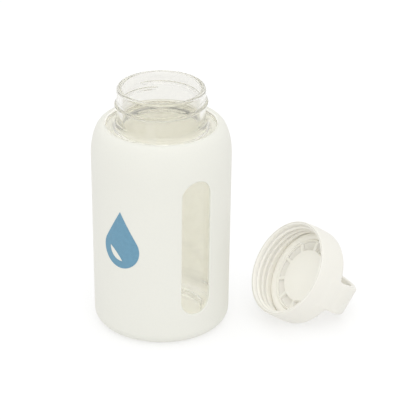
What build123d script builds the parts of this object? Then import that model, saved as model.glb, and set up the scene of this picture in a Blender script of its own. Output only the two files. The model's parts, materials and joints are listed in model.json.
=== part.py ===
from build123d import *

import os
from math import cos, pi, radians, sin, sqrt

os.makedirs("parts", exist_ok=True)

# Bottle: z up from the floor, axis on Z.
FOOT_R = 40.05
BODY_R = 41.0
SHOULDER_Z = 107.2
SHOULDER_IN = 33.9
SHOULDER_RISE = 19.5
HEEL_R = 8.0
SLEEVE_T = 1.8
SLEEVE_MOUTH_R = 32.4
BASE_T = 6.2
GLASS_T = 2.6
INNER_HEEL_R = 8.0
INNER_SHELF_R = 31.0
PUNT_R = 24.0
PUNT_RISE = 1.6
NECK_R = 25.8
NECK_BORE_R = 22.6
NECK_ROOT_Z = 129.2
SHELF_R = 28.8
SHELF_Z = 126.0
RIM_Z = 148.7
PITCH = 3.8
RIDGE_R = 27.1
RIDGE_Z = 137.2
RIDGE_TURNS = 1.1

# Sleeve window and printed mark, azimuth from -Y towards +X.
WINDOW_W = 18.9
WINDOW_Z = (19.2, 104.8)
WINDOW_AZ = 31.7
MARK_AZ = -34.3
MARK_Z = 66.9
MARK_W = 24.0
MARK_H = 36.0
MARK_T = 0.15

# Cap in its own frame: z = 0 at the open rim, +z towards the closed end.
RIM_R = 29.28
BARREL_R = 29.65
END_R = 29.43
END_Z = 20.8
EDGE_R = 4.0
SHELL_BORE_R = 28.25
SHELL_BORE_Z = 18.7
LOOP_TOP = 47.9
LOOP_HALF_W = 9.3
LOOP_T = 4.2
LOOP_EDGE_R = 1.0
LINER_R = 27.4
LINER_LIP_Z = 0.5
LINER_TOP_Z = 17.5
CREST_R = 26.2
CREST_Z = 2.4
CREST_TURNS = 2.75
CREST_START = 198.0
DISC_R = 22.5
DISC_RING_T = 1.0
DISC_RING_Z = 14.3
BOSS_R = 16.3
BOSS_Z = 14.8
DISC_FLOOR_Z = 16.3
RIB_COUNT = 10
RIB_START = 6.0
RIB_W = 2.2
RIB_ROOT = 0.5
RIB_Z = 15.0
GASKET_Z = 15.2
GASKET_IN = 22.8
GASKET_GAP = 0.3

# Where the cap lies: rim centre, heading and dip of its axis.
CAP_X = 74.15
CAP_Y = -3.6
CAP_HEADING = 30.1
CAP_DIP = 34.4


def spun(*edges):
    """Solid of revolution of a closed outline drawn as (radius, height)."""
    return revolve(Plane.XZ * make_face(edges), Axis.Z)


def radial_plane(azimuth, z):
    """Plane facing out of the bottle at an azimuth, its y up."""
    a = radians(azimuth)
    return Plane(origin=(0, 0, z), x_dir=(cos(a), sin(a), 0), z_dir=(sin(a), -cos(a), 0))


def thread(root_r, crest_r, root_w, crest_w, turns, z):
    """Helical ridge from root_r to crest_r, right-handed."""
    path = Helix(PITCH, PITCH * turns, root_r)
    side = Plane(origin=path @ 0, x_dir=(1, 0, 0), z_dir=path % 0)
    out = crest_r - root_r
    outline = Polyline(
        (0, -root_w / 2), (out, -crest_w / 2), (out, crest_w / 2), (0, root_w / 2), close=True
    )
    ridge = sweep(side * make_face(outline), path=path, is_frenet=True)
    return Pos(0, 0, z) * ridge


def glass_bottle():
    """Round jar with a narrow shelf at the shoulder and a threaded wide neck."""
    foot = FOOT_R - SLEEVE_T
    wall = BODY_R - SLEEVE_T
    heel_c = FOOT_R - HEEL_R
    heel = HEEL_R - SLEEVE_T
    rise = SHOULDER_RISE - SLEEVE_T
    top_r = (NECK_R - NECK_BORE_R) / 2
    mid_r = NECK_R - top_r
    bore_foot = foot - GLASS_T
    bore = wall - GLASS_T
    floor = SLEEVE_T + BASE_T
    shelf_in = SHELF_Z - 4.0
    outside = [
        ThreePointArc((0, SLEEVE_T + PUNT_RISE), (PUNT_R / 2, SLEEVE_T + 0.75 * PUNT_RISE),
                      (PUNT_R, SLEEVE_T)),
        Line((PUNT_R, SLEEVE_T), (heel_c, SLEEVE_T)),
        CenterArc((heel_c, HEEL_R), heel, -90, 90),
        Line((foot, HEEL_R), (wall, SHOULDER_Z)),
        EllipticalCenterArc((SHOULDER_IN, SHOULDER_Z), wall - SHOULDER_IN, rise,
                            arc_size=90),
        Line((SHOULDER_IN, SHOULDER_Z + rise), (SLEEVE_MOUTH_R, SHOULDER_Z + rise)),
        Line((SLEEVE_MOUTH_R, SHOULDER_Z + rise), (SHELF_R, SHELF_Z)),
        ThreePointArc((SHELF_R, SHELF_Z), (NECK_R + 0.85, SHELF_Z + 0.95), (NECK_R, NECK_ROOT_Z)),
        Line((NECK_R, NECK_ROOT_Z), (NECK_R, RIM_Z - top_r)),
    ]
    rim = ThreePointArc((NECK_R, RIM_Z - top_r), (mid_r, RIM_Z), (NECK_BORE_R, RIM_Z - top_r))
    inside = [
        Line((NECK_BORE_R, RIM_Z - top_r), (NECK_BORE_R, SHELF_Z + 1.0)),
        ThreePointArc((NECK_BORE_R, SHELF_Z + 1.0), (NECK_BORE_R + 0.9, SHELF_Z - 1.8),
                      (NECK_BORE_R + 3.4, shelf_in + 0.9)),
        Line((NECK_BORE_R + 3.4, shelf_in + 0.9), (INNER_SHELF_R, shelf_in)),
        EllipticalCenterArc((INNER_SHELF_R, SHOULDER_Z), bore - INNER_SHELF_R,
                            shelf_in - SHOULDER_Z, arc_size=90),
        Line((bore, SHOULDER_Z), (bore_foot, floor + INNER_HEEL_R)),
        CenterArc((bore_foot - INNER_HEEL_R, floor + INNER_HEEL_R), INNER_HEEL_R, -90, 90),
        Line((bore_foot - INNER_HEEL_R, floor), (0, floor)),
        Line((0, floor), (0, SLEEVE_T + PUNT_RISE)),
    ]
    body = spun(*outside, rim, *inside)
    ridge = thread(NECK_R - 0.3, RIDGE_R, 2.4, 1.0, RIDGE_TURNS, RIDGE_Z)
    return body + Rot(0, 0, 90) * ridge


def silicone_sleeve():
    """Close-fitting boot with a flat base, a long window and a round-lipped mouth."""
    heel_c = FOOT_R - HEEL_R
    inner_foot = FOOT_R - SLEEVE_T
    inner_wall = BODY_R - SLEEVE_T
    lip = SLEEVE_T / 2
    top = SHOULDER_Z + SHOULDER_RISE
    skin = spun(
        Line((0, 0), (heel_c, 0)),
        CenterArc((heel_c, HEEL_R), HEEL_R, -90, 90),
        Line((FOOT_R, HEEL_R), (BODY_R, SHOULDER_Z)),
        EllipticalCenterArc((SHOULDER_IN, SHOULDER_Z), BODY_R - SHOULDER_IN, SHOULDER_RISE,
                            arc_size=90),
        Line((SHOULDER_IN, top), (SLEEVE_MOUTH_R + lip, top)),
        ThreePointArc((SLEEVE_MOUTH_R + lip, top), (SLEEVE_MOUTH_R, top - lip),
                      (SLEEVE_MOUTH_R + lip, top - SLEEVE_T)),
        Line((SLEEVE_MOUTH_R + lip, top - SLEEVE_T), (SHOULDER_IN, top - SLEEVE_T)),
        EllipticalCenterArc((SHOULDER_IN, SHOULDER_Z), inner_wall - SHOULDER_IN,
                            SHOULDER_RISE - SLEEVE_T, arc_size=90),
        Line((inner_wall, SHOULDER_Z), (inner_foot, HEEL_R)),
        CenterArc((heel_c, HEEL_R), HEEL_R - SLEEVE_T, -90, 90),
        Line((heel_c, SLEEVE_T), (0, SLEEVE_T)),
        Line((0, SLEEVE_T), (0, 0)),
    )
    low, high = WINDOW_Z
    slot = Rot(0, 0, 90) * SlotOverall(high - low, WINDOW_W)
    window = extrude(radial_plane(WINDOW_AZ, (low + high) / 2) * slot, BODY_R + 10)
    return skin - window


def sleeve_mark():
    """Printed water drop with a crescent left open in it."""
    r = MARK_W / 2
    low = MARK_H / 2 - r
    tip = MARK_H / 2
    reach = tip + low
    tx = r * sqrt(1 - (r / reach) ** 2)
    ty = r * r / reach - low
    drop = make_face([
        Line((0, tip), (tx, ty)),
        ThreePointArc((tx, ty), (0, -low - r), (-tx, ty)),
        Line((-tx, ty), (0, tip)),
    ])
    crescent = make_face([
        ThreePointArc((-0.62 * r, -low + 0.1 * r), (-0.44 * r, -low - 0.44 * r),
                      (0.1 * r, -low - 0.62 * r)),
        ThreePointArc((0.1 * r, -low - 0.62 * r), (-0.22 * r, -low - 0.22 * r),
                      (-0.62 * r, -low + 0.1 * r)),
    ])
    stamp = extrude(radial_plane(MARK_AZ, MARK_Z) * (drop - crescent), BODY_R + 10)
    slope = (BODY_R - FOOT_R) / (SHOULDER_Z - HEEL_R)
    low_z = MARK_Z - MARK_H
    high_z = MARK_Z + MARK_H
    if high_z > SHOULDER_Z:
        high_z = SHOULDER_Z
    low_r = FOOT_R + slope * (low_z - HEEL_R)
    high_r = FOOT_R + slope * (high_z - HEEL_R)
    film = spun(
        Polyline((low_r, low_z), (low_r + MARK_T, low_z), (high_r + MARK_T, high_z),
                 (high_r, high_z), close=True)
    )
    return film & stamp


def cap_shell():
    """Barrel-sided cap whose skirt runs up into one wide carry loop over the top."""
    end_c = END_R - EDGE_R
    edge_z = END_Z - EDGE_R
    cup = spun(
        Line((SHELL_BORE_R, 0), (RIM_R - 0.6, 0)),
        CenterArc((RIM_R - 0.6, 0.6), 0.6, -90, 90),
        ThreePointArc((RIM_R, 0.6), (BARREL_R, 0.45 * END_Z), (END_R, edge_z)),
        CenterArc((end_c, edge_z), EDGE_R, 0, 90),
        Line((end_c, END_Z), (0, END_Z)),
        Line((0, END_Z), (0, SHELL_BORE_Z)),
        Line((0, SHELL_BORE_Z), (SHELL_BORE_R, SHELL_BORE_Z)),
        Line((SHELL_BORE_R, SHELL_BORE_Z), (SHELL_BORE_R, 0)),
    )
    rise = LOOP_TOP - edge_z
    outer = Plane.XZ * (Pos(0, edge_z) * Ellipse(END_R, rise))
    inner = Plane.XZ * (Pos(0, edge_z) * Ellipse(END_R - LOOP_T, rise - LOOP_T))
    strap = extrude(outer, LOOP_HALF_W, both=True)
    strap &= Pos(0, 0, edge_z + rise / 2) * Cylinder(END_R, rise)
    strap -= extrude(inner, END_R, both=True)
    sides = strap.edges().filter_by(lambda e: abs(abs(e.center().Y) - LOOP_HALF_W) < 0.01
                                    and e.center().Z > END_Z)
    strap = fillet(sides, LOOP_EDGE_R)
    strap -= Pos(0, 0, SHELL_BORE_Z / 2) * Cylinder(SHELL_BORE_R, SHELL_BORE_Z)
    return cup + strap


def cap_thread_liner():
    """Inner cup with a run of female thread down its wall."""
    cup = spun(
        Polyline((LINER_R + 0.3, LINER_LIP_Z), (SHELL_BORE_R, LINER_LIP_Z),
                 (SHELL_BORE_R, SHELL_BORE_Z), (0, SHELL_BORE_Z), (0, LINER_TOP_Z),
                 (LINER_R, LINER_TOP_Z), (LINER_R, LINER_LIP_Z + 0.6), close=True)
    )
    ridge = thread(LINER_R + 0.3, CREST_R, 1.9, 0.7, CREST_TURNS, CREST_Z)
    return cup + Rot(0, 0, CREST_START) * ridge


def seal_disc():
    """Ribbed disc in the cap's crown: raised centre, groove and thin outer ring."""
    disc = spun(
        Polyline((0, BOSS_Z), (BOSS_R, BOSS_Z), (BOSS_R, DISC_FLOOR_Z),
                 (DISC_R - DISC_RING_T, DISC_FLOOR_Z), (DISC_R - DISC_RING_T, DISC_RING_Z),
                 (DISC_R, DISC_RING_Z), (DISC_R, LINER_TOP_Z), (0, LINER_TOP_Z), close=True)
    )
    length = DISC_R - BOSS_R
    height = DISC_FLOOR_Z - RIB_Z + RIB_ROOT
    rib = Pos(BOSS_R - RIB_ROOT + length / 2, 0, RIB_Z + height / 2) * Box(length, RIB_W, height)
    for i in range(RIB_COUNT):
        disc += Rot(0, 0, RIB_START + 360 * i / RIB_COUNT) * rib
    return disc


def seal_gasket():
    """Flat silicone ring the glass rim presses against."""
    outer = LINER_R - GASKET_GAP
    top = LINER_TOP_Z - GASKET_GAP
    mid = (GASKET_IN + outer) / 2
    return spun(
        Line((GASKET_IN, top), (GASKET_IN, GASKET_Z)),
        ThreePointArc((GASKET_IN, GASKET_Z), (mid, GASKET_Z - 0.4), (outer, GASKET_Z)),
        Line((outer, GASKET_Z), (outer, top)),
        Line((outer, top), (GASKET_IN, top)),
    )


def lying_cap():
    """Placement of the cap on the floor, leaning on its far edge and its loop."""
    heading = radians(CAP_HEADING)
    dip = radians(CAP_DIP)
    axis = (cos(dip) * cos(heading), cos(dip) * sin(heading), -sin(dip))
    reach = sin(dip) * (END_Z - EDGE_R) + cos(dip) * (END_R - EDGE_R) + EDGE_R
    across = (-sin(heading), cos(heading), 0)
    return Plane(origin=(CAP_X, CAP_Y, reach), x_dir=across, z_dir=axis).location


cap_at = lying_cap()
export_step(glass_bottle(), "parts/glass_bottle.step")
export_step(silicone_sleeve(), "parts/silicone_sleeve.step")
export_step(sleeve_mark(), "parts/sleeve_mark.step")
export_step(cap_at * cap_shell(), "parts/cap_shell.step")
export_step(cap_at * cap_thread_liner(), "parts/cap_thread_liner.step")
export_step(cap_at * seal_disc(), "parts/seal_disc.step")
export_step(cap_at * seal_gasket(), "parts/seal_gasket.step")
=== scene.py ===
import json
import logging
import math
from collections.abc import Callable
from dataclasses import dataclass, field
from enum import Enum

import bmesh
import bpy
import numpy as np
from mathutils import Matrix, Vector


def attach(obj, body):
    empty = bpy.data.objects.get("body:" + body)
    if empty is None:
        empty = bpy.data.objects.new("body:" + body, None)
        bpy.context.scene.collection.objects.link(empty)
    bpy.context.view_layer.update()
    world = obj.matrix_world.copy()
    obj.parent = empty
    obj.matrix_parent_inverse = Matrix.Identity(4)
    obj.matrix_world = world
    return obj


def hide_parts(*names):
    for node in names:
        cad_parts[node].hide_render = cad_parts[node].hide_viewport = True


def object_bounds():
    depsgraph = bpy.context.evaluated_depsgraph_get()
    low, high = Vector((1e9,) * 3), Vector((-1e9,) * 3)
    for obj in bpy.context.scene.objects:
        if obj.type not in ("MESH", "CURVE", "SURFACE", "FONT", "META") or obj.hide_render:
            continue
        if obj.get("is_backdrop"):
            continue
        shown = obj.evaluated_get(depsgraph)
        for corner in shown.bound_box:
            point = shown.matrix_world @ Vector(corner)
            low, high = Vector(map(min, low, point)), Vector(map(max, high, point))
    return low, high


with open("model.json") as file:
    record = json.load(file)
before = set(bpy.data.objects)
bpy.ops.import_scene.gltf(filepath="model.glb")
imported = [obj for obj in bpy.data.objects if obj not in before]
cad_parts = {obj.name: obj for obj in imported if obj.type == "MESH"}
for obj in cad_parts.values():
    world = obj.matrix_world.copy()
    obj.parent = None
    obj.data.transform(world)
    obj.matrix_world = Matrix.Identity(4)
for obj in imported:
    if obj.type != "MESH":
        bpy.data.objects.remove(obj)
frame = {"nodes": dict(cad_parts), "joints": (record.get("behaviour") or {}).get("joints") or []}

LOG = logging.getLogger("bottle")
MM = 0.001


class Body(Enum):
    """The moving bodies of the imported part."""

    BOTTLE = "bottle"
    SEAL = "cap_seal"
    CAP = "cap"


class Slot(Enum):
    """The record's material slots."""

    GLASS = "clear_glass"
    SLEEVE = "sleeve_silicone"
    INK = "print_ink"
    CAP = "cap_plastic"
    LINER = "liner_plastic"
    DISC = "disc_plastic"
    GASKET = "gasket_silicone"


# ---------------------------------------------------------------- shader tools


class Wire:
    """An output socket that takes part in arithmetic."""

    def __init__(self, graph: "Graph", socket: bpy.types.NodeSocket) -> None:
        """Keeps the graph and the socket.

        Args:
            graph: the graph that the socket belongs to.
            socket: the output socket.
        """
        self.graph = graph
        self.socket = socket

    def _math(self, kind: str, first: "Wire | float", second: "Wire | float") -> "Wire":
        """Adds one Math node.

        Args:
            kind: the operation.
            first: the first value.
            second: the second value.

        Returns:
            The result.
        """
        return self.graph.node("ShaderNodeMath", {"operation": kind}, {0: first, 1: second})

    def __add__(self, other: "Wire | float") -> "Wire":
        """Sum."""
        return self._math("ADD", self, other)

    def __radd__(self, other: float) -> "Wire":
        """Sum with a number first."""
        return self._math("ADD", other, self)

    def __sub__(self, other: "Wire | float") -> "Wire":
        """Difference."""
        return self._math("SUBTRACT", self, other)

    def __rsub__(self, other: float) -> "Wire":
        """Difference with a number first."""
        return self._math("SUBTRACT", other, self)

    def __mul__(self, other: "Wire | float") -> "Wire":
        """Product."""
        return self._math("MULTIPLY", self, other)

    def __rmul__(self, other: float) -> "Wire":
        """Product with a number first."""
        return self._math("MULTIPLY", other, self)

    def ramp(self, low: float, high: float) -> "Wire":
        """Runs smoothly from zero at low to one at high.

        Args:
            low: the value that gives zero.
            high: the value that gives one.

        Returns:
            The share between the two.
        """
        settings = {"interpolation_type": "SMOOTHSTEP"}
        return self.graph.node("ShaderNodeMapRange", settings, {0: self, 1: low, 2: high})


class Graph:
    """A material's or world's node tree under construction."""

    def __init__(self, tree: bpy.types.NodeTree) -> None:
        """Clears the tree.

        Args:
            tree: the node tree to fill.
        """
        tree.nodes.clear()
        self.tree = tree

    def node(
        self,
        kind: str,
        settings: dict[str, object] | None = None,
        sockets: dict[int | str, object] | None = None,
        output: int | str = 0,
    ) -> Wire:
        """Adds a node, its settings first and then its sockets.

        Args:
            kind: the node's type.
            settings: property values by name.
            sockets: values or wires by the input's index or name.
            output: which output to return.

        Returns:
            The chosen output, or the first input if the node has no outputs.
        """
        made = self.tree.nodes.new(kind)
        for key, value in (settings or {}).items():
            setattr(made, key, value)
        for key, value in (sockets or {}).items():
            if isinstance(value, Wire):
                self.tree.links.new(value.socket, made.inputs[key])
            else:
                made.inputs[key].default_value = value
        return Wire(self, made.outputs[output]) if made.outputs else Wire(self, made.inputs[0])

    def place(self, stretch: tuple[float, float, float] = (1, 1, 1)) -> Wire:
        """The piece's own coordinates in metres, stretched along its axes."""
        spot = self.node("ShaderNodeTexCoord", output="Object")
        return self.node("ShaderNodeMapping", {}, {0: spot, 3: stretch})

    def noise(self, per_metre: float, detail: float = 3.0, where: Wire | None = None) -> Wire:
        """Noise from zero to one.

        Args:
            per_metre: how many blotches there are in a metre.
            detail: octaves.
            where: coordinates, or none for the piece's own.

        Returns:
            The value.
        """
        sockets = {"Vector": where or self.place(), "Scale": per_metre, "Detail": detail}
        return self.node("ShaderNodeTexNoise", {}, sockets)

    def blend(self, share: Wire | float, first: object, second: object) -> Wire:
        """Mixes two colours.

        Args:
            share: how much of the second.
            first: a colour or wire.
            second: a colour or wire.

        Returns:
            The mixed colour.
        """
        settings = {"data_type": "RGBA", "clamp_factor": True}
        return self.node("ShaderNodeMix", settings, {0: share, 6: first, 7: second}, output=2)

    def bump(self, height: Wire, depth: float, strength: float = 1.0) -> Wire:
        """A normal from a height.

        Args:
            height: from zero to one.
            depth: how far the full height stands out, in metres.
            strength: how much of it shows.

        Returns:
            The normal.
        """
        sockets = {"Height": height, "Distance": depth, "Strength": strength}
        return self.node("ShaderNodeBump", {}, sockets)

    def surface(self, sockets: dict[int | str, object]) -> None:
        """Adds the surface shader and links it to the material's output.

        Args:
            sockets: the shader's values or wires by the input's name.
        """
        settings = {"subsurface_method": "RANDOM_WALK"}
        shader = self.node("ShaderNodeBsdfPrincipled", settings, sockets)
        self.node("ShaderNodeOutputMaterial", {}, {"Surface": shader})


def rgba(colour: tuple[float, float, float]) -> tuple[float, float, float, float]:
    """A colour with full alpha."""
    return (*colour, 1.0)


def shaded(colour: tuple[float, float, float], by: float) -> tuple[float, float, float, float]:
    """A colour made lighter or darker by a factor."""
    return (*(min(1.0, c * by) for c in colour), 1.0)


# -------------------------------------------------------------------- finishes


class Finish:
    """What a surface is made of."""

    name: str

    def paint(self, graph: Graph) -> None:
        """Fills the material's node tree.

        Args:
            graph: the tree.

        Raises:
            NotImplementedError: always, as each finish has its own.
        """
        raise NotImplementedError

    def make(self) -> bpy.types.Material:
        """Builds the material.

        Returns:
            The material.
        """
        material = bpy.data.materials.new(self.name)
        material.use_nodes = True
        self.paint(Graph(material.node_tree))
        return material


@dataclass(frozen=True)
class SiliconeFinish(Finish):
    """Matt moulded silicone with faint mottling, a fine skin and a trace of painted glow standing in
    for light seeping through it.
    """

    name: str
    colour: tuple[float, float, float]
    roughness: float = 0.62
    scuff: float = 0.05
    skin_depth: float = 0.00006
    # painted glow: emission that stands in for light coming through the silicone
    painted_glow: float = 0.0
    painted_glow_tint: tuple[float, float, float] = (1.0, 0.985, 0.93)

    def paint(self, graph: Graph) -> None:
        """Fills the material's node tree.

        Args:
            graph: the tree.
        """
        cloudy = graph.noise(26.0, 3.0)
        dust_and_shade = graph.noise(900.0, 4.0)
        skin = graph.noise(3600.0, 2.0)
        specks = graph.noise(1500.0, 1.0).ramp(0.70, 0.80)
        tone = graph.blend(cloudy, shaded(self.colour, 0.985), shaded(self.colour, 1.015))
        tone = graph.blend(dust_and_shade.ramp(0.35, 0.8) * 0.35, tone, shaded(self.colour, 0.96))
        tone = graph.blend(specks * 0.25, tone, shaded(self.colour, 0.90))
        rough = self.roughness + (dust_and_shade - 0.5) * 0.16 + (cloudy - 0.5) * self.scuff
        height = skin * 0.6 + dust_and_shade * 0.4
        graph.surface({
            "Base Color": tone,
            "Roughness": rough,
            "Normal": graph.bump(height, self.skin_depth, 0.5),
            "IOR": 1.41,
            # painted glow: the silicone gives off light of its own
            "Emission Color": rgba(self.painted_glow_tint),
            "Emission Strength": self.painted_glow,
            "Specular IOR Level": 0.35,
            "Sheen Weight": 0.08,
            "Sheen Roughness": 0.6,
        })


@dataclass(frozen=True)
class PlasticFinish(Finish):
    """Moulded plastic with a fine satin texture, polish where it is handled, painted shade in its
    creases and a painted highlight on its edges.
    """

    name: str
    colour: tuple[float, float, float]
    roughness: float = 0.42
    glow: float = 0.04
    glow_reach: float = 0.0015
    texture: float = 0.00004
    grain: float = 2600.0
    # how strongly painted shade darkens the creases
    crease_shade: float = 0.5

    def paint(self, graph: Graph) -> None:
        """Fills the material's node tree.

        Args:
            graph: the tree.
        """
        cloudy = graph.noise(38.0, 3.0)
        grain = graph.noise(self.grain, 3.0)
        handled = graph.noise(120.0, 4.0).ramp(0.45, 0.75)
        specks = graph.noise(1300.0, 1.0).ramp(0.71, 0.80)
        geometry = graph.node("ShaderNodeNewGeometry", output="Pointiness")
        edges = geometry.ramp(0.52, 0.60)
        creases = geometry.ramp(0.495, 0.43)
        tone = graph.blend(cloudy, shaded(self.colour, 0.985), shaded(self.colour, 1.015))
        # painted shade: creases are darkened where shade falls in them
        tone = graph.blend(creases * self.crease_shade, tone, shaded(self.colour, 0.70))
        # painted highlight: sharp edges and crests are lightened
        tone = graph.blend(edges * 0.30, tone, shaded(self.colour, 1.05))
        tone = graph.blend(specks * 0.22, tone, shaded(self.colour, 0.90))
        rough = self.roughness + (grain - 0.5) * 0.14 - handled * 0.05 - edges * 0.06
        graph.surface({
            "Base Color": tone,
            "Roughness": rough,
            "Normal": graph.bump(grain, self.texture, 0.6),
            "IOR": 1.49,
            "Subsurface Weight": self.glow,
            "Subsurface Radius": (1.0, 0.9, 0.7),
            "Subsurface Scale": self.glow_reach,
            "Specular IOR Level": 0.45,
        })


@dataclass(frozen=True)
class GlassFinish(Finish):
    """Pressed clear glass, hardly wavy, with faint fingermarks and a greyer tint up the neck as
    painted shade.
    """

    name: str = "jar_glass"
    body: tuple[float, float, float] = (0.999, 0.999, 0.993)
    neck: tuple[float, float, float] = (0.87, 0.862, 0.825)
    neck_from: float = 0.122
    neck_full: float = 0.131
    smear: float = 0.03

    def paint(self, graph: Graph) -> None:
        """Fills the material's node tree.

        Args:
            graph: the tree.
        """
        wavy = graph.noise(60.0, 2.0, graph.place((1.0, 1.0, 0.35)))
        marks = graph.noise(190.0, 5.0).ramp(0.52, 0.80)
        height = graph.node("ShaderNodeSeparateXYZ", {}, {0: graph.place()}, output=2)
        # painted shade: the glass is tinted greyer from the shelf up, darkening the neck
        up = height.ramp(self.neck_from, self.neck_full)
        tint = graph.blend(up, rgba(self.body), rgba(self.neck))
        tint = graph.blend(marks * 0.3, tint, shaded(self.neck, 0.98))
        graph.surface({
            "Base Color": tint,
            "Roughness": marks * self.smear,
            "Normal": graph.bump(wavy, 0.00025, 0.25),
            "IOR": 1.5,
            "Transmission Weight": 1.0,
        })


@dataclass(frozen=True)
class InkFinish(Finish):
    """Pad-printed ink, a little thin in places."""

    name: str = "printed_ink"
    colour: tuple[float, float, float] = (0.135, 0.285, 0.395)
    roughness: float = 0.5
    worn: tuple[float, float, float] = (0.45, 0.55, 0.60)

    def paint(self, graph: Graph) -> None:
        """Fills the material's node tree.

        Args:
            graph: the tree.
        """
        cover = graph.noise(420.0, 4.0)
        thin = graph.noise(2400.0, 2.0).ramp(0.55, 0.85)
        tone = graph.blend(cover, shaded(self.colour, 0.90), shaded(self.colour, 1.14))
        tone = graph.blend(thin * 0.30, tone, rgba(self.worn))
        graph.surface({
            "Base Color": tone,
            "Roughness": self.roughness + (cover - 0.5) * 0.2,
            "Normal": graph.bump(thin * 0.5 + cover * 0.5, 0.00003, 0.5),
            "IOR": 1.45,
            "Specular IOR Level": 0.3,
        })


@dataclass(frozen=True)
class TableFinish(Finish):
    """Plain white studio paper."""

    name: str = "studio_paper"
    colour: tuple[float, float, float] = (0.45, 0.45, 0.45)
    glow: float = 0.515

    def paint(self, graph: Graph) -> None:
        """Fills the material's node tree.

        Args:
            graph: the tree.
        """
        fibre = graph.noise(700.0, 3.0)
        tone = graph.blend(fibre, shaded(self.colour, 0.995), shaded(self.colour, 1.005))
        graph.surface({
            "Base Color": tone,
            "Roughness": 0.9,
            "Specular IOR Level": 0.0,
            "Emission Color": rgba((1.0, 1.0, 1.0)),
            "Emission Strength": self.glow,
        })


# ------------------------------------------------------------------ mesh tools


def arc(
    centre: tuple[float, float],
    radii: tuple[float, float],
    start: float,
    end: float,
    steps: int,
) -> np.ndarray:
    """Points on a circular or elliptical arc.

    Args:
        centre: its middle as (radius, height).
        radii: its half widths.
        start: first angle in degrees.
        end: last angle in degrees.
        steps: how many spans.

    Returns:
        Points as rows of (radius, height).
    """
    a = np.radians(np.linspace(start, end, steps + 1))
    return np.column_stack([centre[0] + radii[0] * np.cos(a), centre[1] + radii[1] * np.sin(a)])


def line(start: tuple[float, float], end: tuple[float, float], steps: int) -> np.ndarray:
    """Points on a straight run, both ends included."""
    return np.linspace(start, end, steps + 1)


def chain(*runs: np.ndarray) -> np.ndarray:
    """Joins runs of points and drops the repeats where they meet.

    Args:
        *runs: rows of (radius, height), in order.

    Returns:
        One run.
    """
    points = np.vstack(runs)
    keep = np.ones(len(points), bool)
    keep[1:] = np.linalg.norm(np.diff(points, axis=0), axis=1) > 1e-4
    return points[keep]


def hoop(r: np.ndarray | float, z: np.ndarray | float, angles: np.ndarray) -> np.ndarray:
    """Points round the vertical axis.

    Args:
        r: their radius, or one for each angle.
        z: their height, or one for each angle.
        angles: where they lie, from +X.

    Returns:
        Rows of points.
    """
    height = np.broadcast_to(z, angles.shape)
    return np.column_stack([r * np.cos(angles), r * np.sin(angles), height])


def ease(value: np.ndarray) -> np.ndarray:
    """Smoothstep of a value cut to the range from zero to one."""
    t = np.clip(value, 0.0, 1.0)
    return t * t * (3.0 - 2.0 * t)


@dataclass(frozen=True)
class Ridge:
    """A thread's ridge, which runs round and up; begin, end and fade are in turns."""

    height: float
    foot: float
    flank: float
    low: float
    end: float
    fade: float
    begin: float = 0.0
    phase: float = 0.0
    pitch: float = 3.8

    def rise(self, angles: np.ndarray, heights: np.ndarray) -> np.ndarray:
        """How far the ridge stands out.

        Args:
            angles: round the axis.
            heights: up the wall.

        Returns:
            Its height, a row for each place up the wall.
        """
        out = np.zeros((len(heights), len(angles)))
        for lap in range(math.ceil(self.end)):
            turn = ((angles - self.phase) % (2 * math.pi)) / (2 * math.pi) + lap
            shown = ease((turn - self.begin) / self.fade) * ease((self.end - turn) / self.fade)
            centre = self.low + self.pitch * turn
            away = np.abs(heights[:, None] - centre[None, :])
            out = np.maximum(out, self.height * ease((self.foot - away) / self.flank) * shown)
        return out


@dataclass
class Draft:
    """A mesh being put together, in millimetres."""

    points: list[np.ndarray] = field(default_factory=list)
    faces: list[tuple[int, ...]] = field(default_factory=list)
    count: int = 0

    def add(self, points: np.ndarray) -> np.ndarray:
        """Adds points.

        Args:
            points: rows of three numbers.

        Returns:
            Their indices.
        """
        self.points.append(points)
        start = self.count
        self.count += len(points)
        return np.arange(start, self.count)

    def strip(self, first: np.ndarray, second: np.ndarray, closed: bool = True) -> None:
        """Quads between two rows of the same length.

        Args:
            first: indices of the first row.
            second: indices of the second row.
            closed: whether the rows run round.
        """
        a, b = (first, second) if closed else (first[:-1], second[:-1])
        c, d = (np.roll(second, -1), np.roll(first, -1)) if closed else (second[1:], first[1:])
        self.faces.extend(map(tuple, np.column_stack([a, b, c, d]).tolist()))

    def fan(self, ring: np.ndarray, tip: int) -> None:
        """Triangles from a closed row to one point."""
        turned = np.roll(ring, -1)
        self.faces.extend((int(a), int(b), int(tip)) for a, b in zip(ring, turned, strict=True))

    def build(self, name: str, place: Matrix | None = None) -> bpy.types.Object:
        """Makes the object in the row frame, its normals facing out.

        Args:
            name: the piece's name.
            place: where a piece drawn in its own frame stands, in millimetres.

        Returns:
            The object, smooth shaded.
        """
        co = np.vstack(self.points)
        if place is not None:
            m = np.array(place)
            co = co @ m[:3, :3].T + m[:3, 3]
        mesh = bpy.data.meshes.new(name)
        mesh.from_pydata((co * MM).tolist(), [], self.faces)
        work = bmesh.new()
        work.from_mesh(mesh)
        loose = [v for v in work.verts if not v.link_faces]
        bmesh.ops.delete(work, geom=loose, context="VERTS")
        bmesh.ops.recalc_face_normals(work, faces=work.faces)
        work.to_mesh(mesh)
        work.free()
        mesh.polygons.foreach_set("use_smooth", [True] * len(mesh.polygons))
        made = bpy.data.objects.new(name, mesh)
        bpy.context.scene.collection.objects.link(made)
        return made


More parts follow.
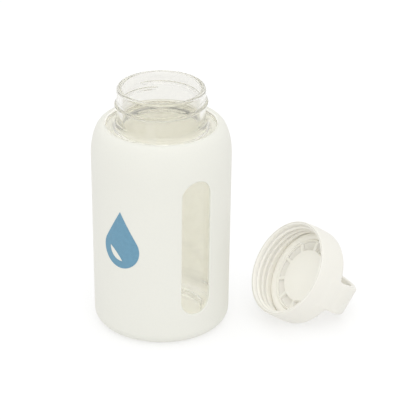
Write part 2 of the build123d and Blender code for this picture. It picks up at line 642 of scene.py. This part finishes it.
def lathe(
    outline: np.ndarray,
    columns: int,
    swell: Callable[[np.ndarray, np.ndarray], np.ndarray] | None = None,
    closed: bool = False,
) -> Draft:
    """Spins an outline about the vertical axis.

    Args:
        outline: rows of (radius, height); ends on the axis become single points.
        columns: how many steps round.
        swell: what is added to the radius, from (angles, outline).
        closed: whether the outline is a loop clear of the axis.

    Returns:
        The draft.
    """
    draft = Draft()
    angles = np.linspace(0, 2 * math.pi, columns, endpoint=False)
    radii = np.repeat(outline[:, :1], columns, axis=1)
    if swell is not None:
        radii = radii + swell(angles, outline)
    rows: list[np.ndarray] = []
    for r, (plain, z) in zip(radii, outline, strict=True):
        if plain < 1e-6:
            rows.append(draft.add(np.array([[0.0, 0.0, z]])))
        else:
            rows.append(draft.add(hoop(r, z, angles)))
    pairs = list(zip(rows, rows[1:], strict=False))
    if closed:
        pairs.append((rows[-1], rows[0]))
    for first, second in pairs:
        if len(first) == 1:
            draft.fan(second, int(first[0]))
        elif len(second) == 1:
            draft.fan(first, int(second[0]))
        else:
            draft.strip(first, second)
    return draft


def both(a: np.ndarray, b: np.ndarray, r: float) -> np.ndarray:
    """Distance to what two shapes share, their meeting edge rounded.

    Args:
        a: signed distances to the first shape.
        b: signed distances to the second.
        r: the edge's radius.

    Returns:
        The distances.
    """
    p, q = a + r, b + r
    outside = np.hypot(np.maximum(p, 0), np.maximum(q, 0))
    return outside + np.minimum(np.maximum(p, q), 0) - r


def either(a: np.ndarray, b: np.ndarray, r: float) -> np.ndarray:
    """Distance to two shapes joined, their meeting corner filled by r."""
    return -both(-a, -b, r)


def oval(x: np.ndarray, z: np.ndarray, half_x: float, half_z: float) -> np.ndarray:
    """Near distance to an ellipse about the origin.

    Args:
        x: sideways places.
        z: upward places.
        half_x: half its width.
        half_z: half its height.

    Returns:
        The distances.
    """
    k0 = np.hypot(x / half_x, z / half_z)
    k1 = np.hypot(x / half_x**2, z / half_z**2)
    return k0 * (k0 - 1.0) / np.maximum(k1, 1e-9)


@dataclass
class Skinner:
    """Turns a distance field into a quad mesh that lies on its zero surface."""

    low: tuple[float, float, float]
    high: tuple[float, float, float]
    step: float
    probe: float = 0.02
    rounds: int = 3
    least_slope: float = 0.25
    longest_move: float = 0.4

    def skin(self, shape: Callable[[np.ndarray], np.ndarray]) -> Draft:
        """Meshes a shape.

        Args:
            shape: signed distance in millimetres at rows of points.

        Returns:
            The draft.
        """
        spans = zip(self.low, self.high, strict=True)
        axes = [np.arange(low, high + self.step, self.step) for low, high in spans]
        base = np.stack(np.meshgrid(*axes, indexing="ij"), -1)
        value = shape(base.reshape(-1, 3)).reshape(base.shape[:3])
        full = value < 0
        cells_each_way = [len(a) - 1 for a in axes]
        total = np.zeros((*cells_each_way, 3))
        hits = np.zeros(cells_each_way)
        quads: list[tuple[int, np.ndarray, np.ndarray]] = []
        for axis in range(3):
            here = [slice(None)] * 3
            there = [slice(None)] * 3
            here[axis], there[axis] = slice(None, -1), slice(1, None)
            a, b = value[tuple(here)], value[tuple(there)]
            cut = full[tuple(here)] != full[tuple(there)]
            index = np.argwhere(cut)
            share = (a[cut] / (a[cut] - b[cut]))[:, None]
            point = base[tuple(here)][cut].copy()
            point[:, axis] += share[:, 0] * self.step
            others = [k for k in range(3) if k != axis]
            cells = []
            for du, dv in ((0, 0), (1, 0), (1, 1), (0, 1)):
                cell = index.copy()
                cell[:, others[0]] -= du
                cell[:, others[1]] -= dv
                cells.append(cell)
                np.add.at(total, tuple(cell.T), point)
                np.add.at(hits, tuple(cell.T), 1)
            quads.append((axis, np.stack(cells, 1), full[tuple(here)][cut]))
        used = hits > 0
        number = np.full(hits.shape, -1)
        number[used] = np.arange(used.sum())
        points = total[used] / hits[used][:, None]
        points = self.settle(points, shape)
        draft = Draft()
        draft.add(points)
        for axis, cells, inside in quads:
            ids = number[tuple(cells.reshape(-1, 3).T)].reshape(-1, 4)
            turn = inside if axis != 1 else ~inside
            ids = np.where(turn[:, None], ids, ids[:, ::-1])
            draft.faces.extend(map(tuple, ids.tolist()))
        return draft

    def settle(self, points: np.ndarray, shape: Callable[[np.ndarray], np.ndarray]) -> np.ndarray:
        """Moves points onto the surface along its slope.

        Args:
            points: rows of points near the surface.
            shape: signed distance.

        Returns:
            The moved points.
        """
        h = self.probe
        reach = self.longest_move * self.step
        for _ in range(self.rounds):
            value = shape(points)
            slope = np.stack(
                [(shape(points + h * e) - shape(points - h * e)) / (2 * h) for e in np.eye(3)], 1
            )
            steep = np.maximum((slope**2).sum(1), self.least_slope)
            move = -slope * (value / steep)[:, None]
            points = points + np.clip(move, -reach, reach)
        return points


def dress(
    piece: bpy.types.Object,
    finish: Finish,
    body: Body,
    slot: Slot,
    *nodes: str,
) -> None:
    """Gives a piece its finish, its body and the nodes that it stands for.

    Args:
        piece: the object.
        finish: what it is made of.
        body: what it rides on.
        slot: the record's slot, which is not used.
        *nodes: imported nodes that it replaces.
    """
    piece.data.materials.clear()
    piece.data.materials.append(finish.make())
    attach(piece, body.value)
    if nodes:
        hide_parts(*nodes)
    LOG.info("%s rides on %s, %d faces", piece.name, body.value, len(piece.data.polygons))


def dress_part(
    piece: bpy.types.Object,
    finish: Finish,
    chosen: Callable[[Vector, Vector], bool],
    place: Matrix | None = None,
) -> None:
    """Gives some of a piece's faces a second finish.

    Args:
        piece: the object, already dressed.
        finish: the second finish.
        chosen: whether a face has it, from its centre in millimetres and its normal.
        place: the frame that the centres are given in, or none for the row frame.
    """
    piece.data.materials.append(finish.make())
    back = place.inverted() if place is not None else Matrix.Identity(4)
    for face in piece.data.polygons:
        face.material_index = int(chosen(back @ (face.center / MM), face.normal))


# ---------------------------------------------------------------- the bottle


@dataclass(frozen=True)
class Profile:
    """The sleeve's outside, which the glass follows from within."""

    foot_r: float = 40.05
    body_r: float = 41.0
    heel_r: float = 8.0
    wall: float = 1.8
    shoulder_z: float = 107.2
    shoulder_in: float = 33.9
    shoulder_rise: float = 19.5

    @property
    def heel_c(self) -> float:
        """Radius of the middle of the heel's arc."""
        return self.foot_r - self.heel_r


@dataclass
class GlassJar:
    """Round jar, a low shelf at its shoulder and a wide neck with one thread ridge."""

    profile: Profile = Profile()
    gap: float = 0.12
    wall: float = 2.6
    base: float = 6.2
    inner_heel: float = 8.0
    punt_r: float = 24.0
    punt_rise: float = 1.6
    shelf_out: float = 33.2
    shelf_r: float = 30.2
    shelf_z: float = 126.0
    shelf_dip: float = 0.55
    root: tuple[float, float] = (4.4, 4.45)
    root_top: float = 4.6
    shelf_t: float = 4.0
    shelf_in_r: float = 31.0
    throat: tuple[float, float] = (3.6, 5.0)
    throat_z: float = 1.2
    neck_r: float = 25.8
    bore_r: float = 22.6
    rim_z: float = 148.7
    ridge: Ridge = Ridge(1.3, 1.25, 0.95, low=137.2, end=1.1, fade=0.05, phase=math.pi / 2)
    columns: int = 288

    def outline(self) -> np.ndarray:
        """Outer wall from the base's middle up, over the rim and down the inside.

        Returns:
            Rows of (radius, height).
        """
        side = self.profile
        foot = side.foot_r - side.wall - self.gap
        wall = side.body_r - side.wall - self.gap
        heel = side.heel_r - side.wall - self.gap
        low = side.wall + self.gap
        rise = side.shoulder_rise - side.wall - self.gap
        shoulder = (side.shoulder_in, side.shoulder_z)
        top = (self.neck_r - self.bore_r) / 2
        rim = self.rim_z - top
        shelf_low = self.shelf_z - self.shelf_dip
        throat_r = self.bore_r + self.throat[0]
        throat_z = self.shelf_z + self.throat_z
        floor = side.wall + self.base
        bore = side.body_r - side.wall - self.wall
        bore_foot = side.foot_r - side.wall - self.wall
        ceiling = self.shelf_z - self.shelf_t
        dome = (bore - self.shelf_in_r, ceiling - side.shoulder_z)
        inner = self.inner_heel
        return chain(
            arc((0, low), (self.punt_r, self.punt_rise), 90, 0, 10),
            line((self.punt_r, low), (side.heel_c, low), 2),
            arc((side.heel_c, side.heel_r), (heel, heel), -90, 0, 14),
            line((foot, side.heel_r), (wall, side.shoulder_z), 24),
            arc(shoulder, (wall - side.shoulder_in, rise), 0, 88, 20),
            line((self.shelf_out, side.shoulder_z + rise), (self.shelf_r, shelf_low), 3),
            arc((self.shelf_r, shelf_low + self.root[1]), self.root, 270, 182, 14),
            line((self.neck_r, self.shelf_z + self.root_top), (self.neck_r, rim), 70),
            arc((self.neck_r - top, rim), (top, top), 0, 180, 20),
            line((self.bore_r, rim), (self.bore_r, throat_z), 20),
            arc((throat_r, throat_z), self.throat, 180, 270, 12),
            line((throat_r, throat_z - self.throat[1]), (self.shelf_in_r, ceiling), 3),
            arc((self.shelf_in_r, side.shoulder_z), dome, 90, 0, 18),
            line((bore, side.shoulder_z), (bore_foot, floor + inner), 24),
            arc((bore_foot - inner, floor + inner), (inner, inner), 0, -90, 12),
            line((bore_foot - inner, floor), (0, floor), 6),
        )

    def swell(self, angles: np.ndarray, outline: np.ndarray) -> np.ndarray:
        """The thread ridge on the outside of the neck.

        Args:
            angles: round the jar.
            outline: rows of (radius, height).

        Returns:
            What is added to each row's radius.
        """
        on_neck = np.abs(outline[:, 0] - self.neck_r) < 0.02
        return self.ridge.rise(angles, outline[:, 1]) * on_neck[:, None]

    def build(self) -> None:
        """Spins the glass and dresses it."""
        jar = lathe(self.outline(), self.columns, self.swell).build("glass_jar")
        dress(jar, GlassFinish(), Body.BOTTLE, Slot.GLASS, "glass_bottle")


@dataclass
class SiliconeSleeve:
    """Close-fitting boot with a long window and a rolled mouth."""

    profile: Profile = Profile()
    mouth_r: float = 32.4
    window_w: float = 18.9
    window_low: float = 19.2
    window_high: float = 104.8
    window_at: float = 31.7
    edge: float = 0.5
    edge_steps: int = 6
    margin: float = 5.0
    frame_side: int = 11
    columns: int = 208
    floor_steps: int = 8
    heel_steps: int = 14
    side_steps: int = 48
    shoulder_steps: int = 22
    lip_steps: int = 12
    inward: float = -0.45
    floor_top: float = 10.0
    rings_in: tuple[float, ...] = (0.10, 0.24, 0.42, 0.62, 0.82)

    def __post_init__(self) -> None:
        """Works out matching stations up the outside and the inside."""
        self.wall = self.profile.wall
        self.outer = self.stations(0.0)
        self.inner = self.stations(self.wall)
        span = np.linalg.norm(np.diff(self.outer, axis=0), axis=1)
        self.run = np.concatenate([[0.0], np.cumsum(span)])
        self.run += self.profile.heel_r - self.run[self.floor_steps + self.heel_steps]

    def stations(self, t: float) -> np.ndarray:
        """Stations up one skin, from the base's middle to the lip.

        Args:
            t: how far the skin lies under the outside.

        Returns:
            Rows of (radius, height).
        """
        side = self.profile
        heel = side.heel_r - t
        foot, body = side.foot_r - t, side.body_r - t
        mid = (side.shoulder_in, side.shoulder_z)
        top = side.shoulder_z + side.shoulder_rise
        return np.vstack([
            line((0, t), (side.heel_c, t), self.floor_steps)[:-1],
            arc((side.heel_c, side.heel_r), (heel, heel), -90, 0, self.heel_steps)[:-1],
            line((foot, side.heel_r), (body, side.shoulder_z), self.side_steps)[:-1],
            arc(mid, (body - mid[0], side.shoulder_rise - t), 0, 90, self.shoulder_steps),
            [[self.mouth_r + side.wall / 2, top - t]],
        ])

    def skin(self, across: np.ndarray, run: np.ndarray, depth: float) -> np.ndarray:
        """Points of the window's surround.

        Args:
            across: sideways distance from the window's middle plane.
            run: distance up the wall.
            depth: how far under the outer skin.

        Returns:
            Rows of points.
        """
        share = depth / self.wall
        both_sides = [(self.outer, 1 - share), (self.inner, share)]
        r = sum(k * np.interp(run, self.run, side[:, 0]) for side, k in both_sides)
        z = sum(k * np.interp(run, self.run, side[:, 1]) for side, k in both_sides)
        a = math.radians(self.window_at) + np.arcsin(np.clip(across / r, -1, 1))
        return np.column_stack([r * np.sin(a), -r * np.cos(a), z])

    def draft(self) -> Draft:
        """Two skins joined at the mouth and round the window.

        Returns:
            The draft.
        """
        draft = Draft()
        turn = 2 * math.pi / self.columns
        front = math.radians(self.window_at) - math.pi / 2
        a = front + turn * np.arange(self.columns)
        sides: list[list[np.ndarray]] = []
        for side in (self.outer, self.inner):
            rows = [draft.add(np.array([[0.0, 0.0, side[0, 1]]]))]
            for r, z in side[1:]:
                rows.append(draft.add(hoop(r, z, a)))
            sides.append(rows)
        h = self.frame_side
        low = int(np.searchsorted(self.run, self.window_low - self.margin))
        high = int(np.searchsorted(self.run, self.window_high + self.margin))
        for rows in sides:
            draft.fan(rows[1], int(rows[0][0]))
            for j in range(1, len(rows) - 1):
                if low <= j < high:
                    kept = self.columns - 2 * h + 1
                    open_rows = [np.roll(row, -h)[:kept] for row in rows[j : j + 2]]
                    draft.strip(*open_rows, closed=False)
                else:
                    draft.strip(rows[j], rows[j + 1])
        half = self.wall / 2
        middle = (self.mouth_r + half, self.outer[-1, 1] - half)
        lip = arc(middle, (half, half), 90, 270, self.lip_steps)[1:-1]
        last = sides[0][-1]
        for r, z in lip:
            ring = draft.add(hoop(r, z, a))
            draft.strip(last, ring)
            last = ring
        draft.strip(last, sides[1][-1])
        self.open_window(draft, sides, low, high)
        return draft

    def open_window(self, draft: Draft, sides: list[list[np.ndarray]], low: int, high: int) -> None:
        """Rings from the grid's opening in to the window and through the wall.

        Args:
            draft: the mesh.
            sides: rows of indices of the outer and inner skins.
            low: the opening's lowest row.
            high: the opening's highest row.
        """
        h = self.frame_side
        loop = [(low, c) for c in range(-h, h)]
        loop += [(j, h) for j in range(low, high)]
        loop += [(high, c) for c in range(h, -h, -1)]
        loop += [(j, -h) for j in range(high, low, -1)]
        rows = np.array([p[0] for p in loop])
        cols = np.array([p[1] for p in loop])
        borders = [np.array([side[j][c % self.columns] for j, c in loop]) for side in sides]
        turn = 2 * math.pi / self.columns
        v = self.run[rows]
        half = self.window_w / 2
        x_out = self.outer[rows, 0] * np.sin(turn * cols)
        x_in = self.inner[rows, 0] * np.sin(turn * cols)
        mid = np.clip(v, self.window_low + half, self.window_high - half)
        away = np.column_stack([x_out, v - mid])
        away /= np.linalg.norm(away, axis=1)[:, None]
        rings: list[np.ndarray] = [borders[0]]

        def ring(offset: float, depth: float, border_x: np.ndarray, share: float) -> None:
            """Adds one ring round the window.

            Args:
                offset: how far outside the window's edge it starts.
                depth: how far under the outer skin it lies.
                border_x: sideways places of the border.
                share: how far it lies from the edge towards the border.
            """
            edge_x = away[:, 0] * (half + offset)
            edge_v = mid + away[:, 1] * (half + offset)
            x = edge_x + (border_x - edge_x) * share
            y = edge_v + (v - edge_v) * share
            ids = draft.add(self.skin(x, y, depth))
            draft.strip(rings[-1], ids)
            rings.append(ids)

        e = self.edge
        bend = [math.pi / 2 * step / self.edge_steps for step in range(self.edge_steps + 1)]
        for share in (*reversed(self.rings_in), 0.0):
            ring(e, 0.0, x_out, share)
        for t in bend[1:]:
            ring(e * (1 - math.sin(t)), e * (1 - math.cos(t)), x_out, 0.0)
        for t in reversed(bend):
            ring(e * (1 - math.sin(t)), self.wall - e * (1 - math.cos(t)), x_out, 0.0)
        for share in self.rings_in:
            ring(e, self.wall, x_in, share)
        draft.strip(rings[-1], borders[1])

    def is_inside(self, centre: Vector, normal: Vector) -> bool:
        """Whether a face is on the sleeve's inside.

        Args:
            centre: the face's middle, in millimetres.
            normal: its normal.

        Returns:
            True for the inner wall and the top of the floor.
        """
        out = Vector((centre.x, centre.y, 0)).normalized().dot(normal)
        on_floor = normal.z > 0.7 and centre.z < self.floor_top
        return out < self.inward or on_floor

    def build(self) -> None:
        """Makes the sleeve and dresses it."""
        sleeve = self.draft().build("sleeve_boot")
        finish = SiliconeFinish("sleeve_silicone_skin", (0.735, 0.733, 0.675))
        dress(sleeve, finish, Body.BOTTLE, Slot.SLEEVE, "silicone_sleeve")
        # painted light: the inside is a brighter copy of the sleeve's silicone with a painted glow,
        # standing in for light that reaches it through the wall and the window
        lit_inside = SiliconeFinish("sleeve_inside_lit", (0.975, 0.97, 0.94), roughness=0.5, painted_glow=0.007)
        dress_part(sleeve, lit_inside, self.is_inside)


@dataclass
class PrintedDrop:
    """The water drop printed on the sleeve, shown as packed."""

    node: str = "sleeve_mark"

    def build(self) -> None:
        """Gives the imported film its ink."""
        film = frame["nodes"][self.node]
        film.data.materials.clear()
        film.data.materials.append(InkFinish().make())
        LOG.info("%s is inked", self.node)


# ------------------------------------------------------------------- the cap


@dataclass
class ScrewCap:
    """Cap lying on its closed end: shell with a carry loop, thread liner, disc and gasket."""

    rim_r: float = 29.28
    rim_z: float = 0.6
    rim_round: float = 0.9
    barrel_r: float = 29.65
    end_r: float = 29.43
    end_z: float = 20.8
    edge_r: float = 4.0
    bore_r: float = 28.25
    bore_z: float = 18.7
    bore_round: tuple[float, float] = (0.6, 0.35)
    loop_top: float = 47.9
    loop_half: float = 9.3
    loop_t: float = 4.2
    loop_round: tuple[float, float] = (2.0, 1.0)
    loop_trim: float = 0.8
    loop_root: float = 6.0
    loop_fillet: float = 1.6
    slack: float = 0.03
    liner_r: float = 27.65
    liner_low: float = 0.15
    liner_lip: tuple[float, float] = (0.25, 0.3)
    liner_flare: float = 1.5
    liner_lead: float = 0.2
    liner_z: float = 1.95
    liner_in: float = 20.0
    liner_corner: float = 0.5
    crest: Ridge = Ridge(1.45, 0.75, 0.40, low=0.3, begin=0.55, end=3.3, fade=0.08)
    top_z: float = 17.5
    gasket_in: float = 22.8
    gasket_r: float = 27.1
    gasket_z: float = 15.2
    gasket_crown: float = 0.5
    gasket_back: float = 0.3
    gasket_join: float = 0.05
    disc_r: float = 22.5
    ring_t: float = 1.0
    ring_z: float = 14.3
    boss_r: float = 16.3
    boss_z: float = 14.8
    dish: float = 0.12
    dish_r: float = 14.0
    groove_z: float = 16.2
    groove_fall: float = 1.05
    groove_margin: tuple[float, float, float, float] = (0.2, 0.1, 0.35, 0.1)
    root_margin: tuple[float, float] = (0.3, 2.4)
    ribs: int = 10
    rib_start: float = 6.0
    rib_w: float = 2.2
    rib_z: float = 15.0
    rib_step: tuple[float, float] = (0.15, 0.35)
    boss_step: tuple[float, float] = (0.12, 0.5)
    ring_step: tuple[float, float] = (0.2, 0.35)
    disc_rows: tuple[tuple[float, float, int], ...] = (
        (1.2, 15.4, 10),
        (15.6, 16.9, 12),
        (17.2, 20.9, 12),
        (21.05, 21.8, 9),
        (22.1, 22.35, 2),
    )
    disc_columns: int = 576
    disc_bevel: float = 0.15
    disc_gap: float = 0.02
    step: float = 0.5

    def __post_init__(self) -> None:
        """Finds the cap's own frame in the row frame, in millimetres, from its turning joint."""
        joint = next(j for j in frame["joints"] if j["name"] == "cap_turn")
        axis = Vector(joint["axis"]).normalized()
        across = Vector((0, 0, 1)).cross(axis).normalized()
        up = axis.cross(across)
        columns = Matrix((across, up, axis)).transposed().to_4x4()
        self.place = Matrix.Translation(Vector(joint["pos_m"]) / MM) @ columns

    def shell(self, p: np.ndarray) -> np.ndarray:
        """Signed distance to the shell with its loop.

        Args:
            p: rows of points in the cap's frame.

        Returns:
            The distances.
        """
        x, y, z = p[:, 0], p[:, 1], p[:, 2]
        r = np.hypot(x, y)
        edge_z = self.end_z - self.edge_r
        t = np.clip((z - self.rim_z) / (edge_z - self.rim_z), -0.2, 1.2)
        ends = self.rim_r + (self.end_r - self.rim_r) * t
        side = ends + (self.barrel_r - (self.rim_r + self.end_r) / 2) * 4 * t * (1 - t)
        cup = both(r - side, z - self.end_z, self.edge_r)
        rise = self.loop_top - edge_z
        outer = oval(x, z - edge_z, self.end_r, rise)
        inner = oval(x, z - edge_z, self.end_r - self.loop_t, rise - self.loop_t)
        outer_round, inner_round = self.loop_round
        arch = both(both(outer, np.abs(y) - self.loop_half, outer_round), -inner, inner_round)
        arch = both(arch, r - self.end_r, self.loop_trim)
        arch = both(arch, edge_z - self.loop_root - z, inner_round)
        whole = both(either(cup, arch, self.loop_fillet), -z, self.rim_round)
        deep_round, lip_round = self.bore_round
        bore = both(r - self.bore_r, z - self.bore_z, deep_round)
        return both(whole, -bore, lip_round)

    def build_shell(self) -> None:
        """Skins the shell."""
        reach = self.barrel_r + 1.0
        skinner = Skinner((-reach, -reach, -1.0), (reach, reach, self.loop_top + 1.0), self.step)
        piece = skinner.skin(self.shell).build("cap_body", self.place)
        finish = PlasticFinish("cap_satin_plastic", (0.775, 0.76, 0.70))
        dress(piece, finish, Body.CAP, Slot.CAP, "cap_shell")

    def thread(self, angles: np.ndarray, outline: np.ndarray) -> np.ndarray:
        """The thread inside the liner.

        Args:
            angles: round the cap.
            outline: rows of (radius, height).

        Returns:
            What is added to each row's radius.
        """
        on_wall = np.abs(outline[:, 0] - self.liner_r) < 0.05
        return -self.crest.rise(angles, outline[:, 1]) * on_wall[:, None]

    def build_liner(self) -> None:
        """Spins the threaded liner."""
        wall, top = self.liner_r, self.top_z
        out = self.bore_r - self.slack
        end = self.bore_z - self.slack
        crown = out - self.liner_lip[0]
        flare_z = self.liner_low + self.liner_flare
        start = wall - self.liner_lead
        corner = self.liner_corner
        outline = chain(
            arc((crown, self.liner_low + self.liner_lip[1]), self.liner_lip, 0, -90, 5),
            arc((crown, flare_z), (crown - start, self.liner_flare), 270, 180, 12),
            line((start, flare_z), (wall, self.liner_z), 2),
            line((wall, self.liner_z), (wall, top), 130),
            line((wall, top), (self.liner_in, top), 4),
            line((self.liner_in, top), (self.liner_in, end), 2),
            line((self.liner_in, end), (out - corner, end), 3),
            arc((out - corner, end - corner), (corner, corner), 90, 0, 4),
            line((out, end - corner), (out, self.rim_z), 4),
        )
        piece = lathe(outline, 360, self.thread, closed=True).build("cap_thread_cup", self.place)
        # painted shade in the thread's creases at full strength
        finish = PlasticFinish("liner_plastic_gloss", (0.885, 0.87, 0.82), roughness=0.36, crease_shade=1.0)
        dress(piece, finish, Body.CAP, Slot.LINER, "cap_thread_liner")
        # painted shade: the plain wall between the thread's turns gets a darker copy of the plastic
        dust_and_shade = PlasticFinish("thread_root_shade", (0.80, 0.785, 0.74), roughness=0.5)
        dress_part(piece, dust_and_shade, self.is_thread_root, self.place)

    def is_thread_root(self, centre: Vector, _normal: Vector) -> bool:
        """Whether a face of the liner lies between the turns of the thread.

        Args:
            centre: the face's middle in the cap's frame.
            _normal: its normal, which doesn't count here.

        Returns:
            True on the plain wall, clear of the rim and the gasket.
        """
        near, clear = self.root_margin
        on_wall = abs(math.hypot(centre.x, centre.y) - self.liner_r) < near
        return on_wall and clear < centre.z < self.gasket_z - clear

    def disc_height(self, r: np.ndarray, angles: np.ndarray) -> np.ndarray:
        """How deep the disc's face lies.

        Args:
            r: radii, one per row.
            angles: round the cap.

        Returns:
            The face's heights, a row for each radius.
        """
        rr = r[:, None]
        inside = self.disc_r - self.ring_t
        fall = ease((inside - rr) / (inside - self.boss_r))
        groove = self.groove_z + self.groove_fall * fall
        pitch = 2 * math.pi / self.ribs
        off = (angles[None, :] - math.radians(self.rib_start) + pitch / 2) % pitch - pitch / 2
        side = np.abs(off * rr)
        (rib_foot, rib_run), (boss_foot, boss_run) = self.rib_step, self.boss_step
        ring_foot, ring_run = self.ring_step
        rib = ease((self.rib_w / 2 + rib_foot - side) / rib_run)
        face = groove + (self.rib_z - groove) * rib
        boss = ease((self.boss_r + boss_foot - rr) / boss_run)
        face = face + (self.boss_z - face) * boss
        ring = ease((rr - inside + ring_foot) / ring_run)
        face = face + (self.ring_z - face) * ring
        return face + self.dish * ease(1 - rr / self.dish_r)

    def build_disc(self) -> None:
        """Makes the ribbed disc."""
        r = np.concatenate([np.linspace(*span) for span in self.disc_rows])
        angles = np.linspace(0, 2 * math.pi, self.disc_columns, endpoint=False)
        heights = self.disc_height(r, angles)
        back = self.top_z - self.disc_gap
        edge = [(self.disc_r, self.ring_z + self.disc_bevel), (self.disc_r, back), (r[0], back)]
        draft = Draft()
        tip = draft.add(np.array([[0.0, 0.0, self.boss_z + self.dish]]))
        rings = [*zip(r, heights, strict=True), *edge]
        rows = [draft.add(hoop(radius, z, angles)) for radius, z in rings]
        draft.fan(rows[0], int(tip[0]))
        for first, second in zip(rows, rows[1:], strict=False):
            draft.strip(first, second)
        under = draft.add(np.array([[0.0, 0.0, back]]))
        draft.fan(rows[-1], int(under[0]))
        piece = draft.build("cap_ribbed_disc", self.place)
        # painted shade in the disc's creases at full strength
        finish = PlasticFinish("disc_plastic_satin", (0.895, 0.885, 0.83), roughness=0.40, crease_shade=1.0)
        dress(piece, finish, Body.CAP, Slot.DISC, "seal_disc")
        # painted shade: the groove floor between the ribs gets a darker copy of the plastic
        dust_and_shade = PlasticFinish("disc_groove_shade", (0.805, 0.79, 0.745), roughness=0.6)
        dress_part(piece, dust_and_shade, self.is_groove, self.place)

    def is_groove(self, centre: Vector, _normal: Vector) -> bool:
        """Whether a face lies down in the disc's groove.

        Args:
            centre: the face's middle in the cap's frame.
            _normal: its normal, which doesn't count here.

        Returns:
            True in the groove, clear of the middle, the outer ring, the ribs and the back.
        """
        middle, ring, rib, back = self.groove_margin
        r = math.hypot(centre.x, centre.y)
        across = self.boss_r + middle < r < self.disc_r - self.ring_t - ring
        return across and self.rib_z + rib < centre.z < self.top_z - back

    def build_gasket(self) -> None:
        """Spins the sealing ring."""
        low, high = self.gasket_in, self.gasket_r
        top = self.top_z - self.gasket_back
        crown = ((high - low) / 2, self.gasket_crown)
        outline = chain(
            line((low, top), (low, self.gasket_z), 2),
            arc(((low + high) / 2, self.gasket_z), crown, 180, 360, 20),
            line((high, self.gasket_z), (high, top), 2),
            line((high, top), (low + self.gasket_join, top), 3),
        )
        piece = lathe(outline, 240, None, closed=True).build("cap_seal_ring", self.place)
        finish = SiliconeFinish("gasket_silicone_skin", (0.95, 0.94, 0.895), roughness=0.5)
        dress(piece, finish, Body.SEAL, Slot.GASKET, "seal_gasket")

    def build(self) -> None:
        """Makes the cap's four pieces."""
        self.build_shell()
        self.build_liner()
        self.build_disc()
        self.build_gasket()


# ------------------------------------------------------------------ the studio


@dataclass
class Studio:
    """White table, even light and a long lens looking down."""

    camera_at: tuple[float, float, float] = (28.553, -1200.0, 658.894)
    pitch_down: float = 0.4560296669
    roll: float = 0.009
    focal: float = 2270.9695
    frame_px: float = 420.0
    sky_top: float = 1.20
    sky_side: float = 0.845
    sky_full: float = 0.9
    table_half: float = 4.0
    table_drop: float = 0.00005
    panel_at: tuple[float, float, float] = (0.1, -1.6, 1.35)
    panel_aim: tuple[float, float, float] = (0.03, 0.0, 0.05)
    panel_size: float = 1.4
    panel_watts: float = 7.5
    sensor: float = 36.0
    sight: float = 20.0

    def build_table(self) -> None:
        """Lays the white table."""
        low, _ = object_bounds()
        half = self.table_half
        mesh = bpy.data.meshes.new("table")
        corners = [(-half, -half, 0), (half, -half, 0), (half, half, 0), (-half, half, 0)]
        mesh.from_pydata(corners, [], [(0, 1, 2, 3)])
        mesh.materials.append(TableFinish().make())
        table = bpy.data.objects.new("table", mesh)
        table.location = (0, 0, low.z - self.table_drop)
        bpy.context.scene.collection.objects.link(table)
        table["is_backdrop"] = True

    def build_sky(self) -> None:
        """An even studio dome, brighter overhead."""
        world = bpy.data.worlds.new("dome")
        world.use_nodes = True
        graph = Graph(world.node_tree)
        aim = graph.node("ShaderNodeTexCoord", output="Generated")
        up = graph.node("ShaderNodeSeparateXYZ", {}, {0: aim}, output=2)
        level = up.ramp(0.0, self.sky_full)
        strength = level * (self.sky_top - self.sky_side) + self.sky_side
        glow = graph.node("ShaderNodeBackground", {}, {0: (1, 1, 1, 1), 1: strength})
        graph.node("ShaderNodeOutputWorld", {}, {"Surface": glow})
        bpy.context.scene.world = world

    def build_lamp(self) -> None:
        """Hangs one soft panel in front of the row."""
        data = bpy.data.lights.new("front_panel", "AREA")
        data.shape = "SQUARE"
        data.size = self.panel_size
        data.energy = self.panel_watts
        lamp = bpy.data.objects.new("front_panel", data)
        at, aim = Vector(self.panel_at), Vector(self.panel_aim)
        lamp.location = at
        lamp.rotation_euler = (aim - at).to_track_quat("-Z", "Y").to_euler()
        bpy.context.scene.collection.objects.link(lamp)

    def build_camera(self) -> None:
        """Sets the camera."""
        data = bpy.data.cameras.new("long_lens")
        data.sensor_fit = "HORIZONTAL"
        data.sensor_width = self.sensor
        data.lens = self.focal * self.sensor / self.frame_px
        data.clip_end = self.sight
        camera = bpy.data.objects.new("long_lens", data)
        camera.location = Vector(self.camera_at) * MM
        lean = Matrix.Rotation(self.roll, 4, "Z")
        aim = Matrix.Rotation(math.pi / 2 - self.pitch_down, 4, "X") @ lean
        camera.rotation_euler = aim.to_euler()
        bpy.context.scene.collection.objects.link(camera)
        bpy.context.scene.camera = camera

    def build(self) -> None:
        """Sets the table, light, camera and how tones are shown."""
        self.build_table()
        self.build_sky()
        self.build_lamp()
        self.build_camera()
        scene = bpy.context.scene
        scene.view_settings.view_transform = "Standard"
        scene.view_settings.look = "None"
        scene.cycles.max_bounces = 64
        scene.cycles.diffuse_bounces = 16
        scene.cycles.transmission_bounces = 60
        scene.cycles.glossy_bounces = 60
        scene.cycles.blur_glossy = 0.0
        LOG.info("studio is set")


def main() -> None:
    """Builds every piece in order."""
    logging.basicConfig(level=logging.INFO)
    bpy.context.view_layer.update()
    GlassJar().build()
    SiliconeSleeve().build()
    PrintedDrop().build()
    ScrewCap().build()
    Studio().build()


if __name__ == "__main__":
    main()
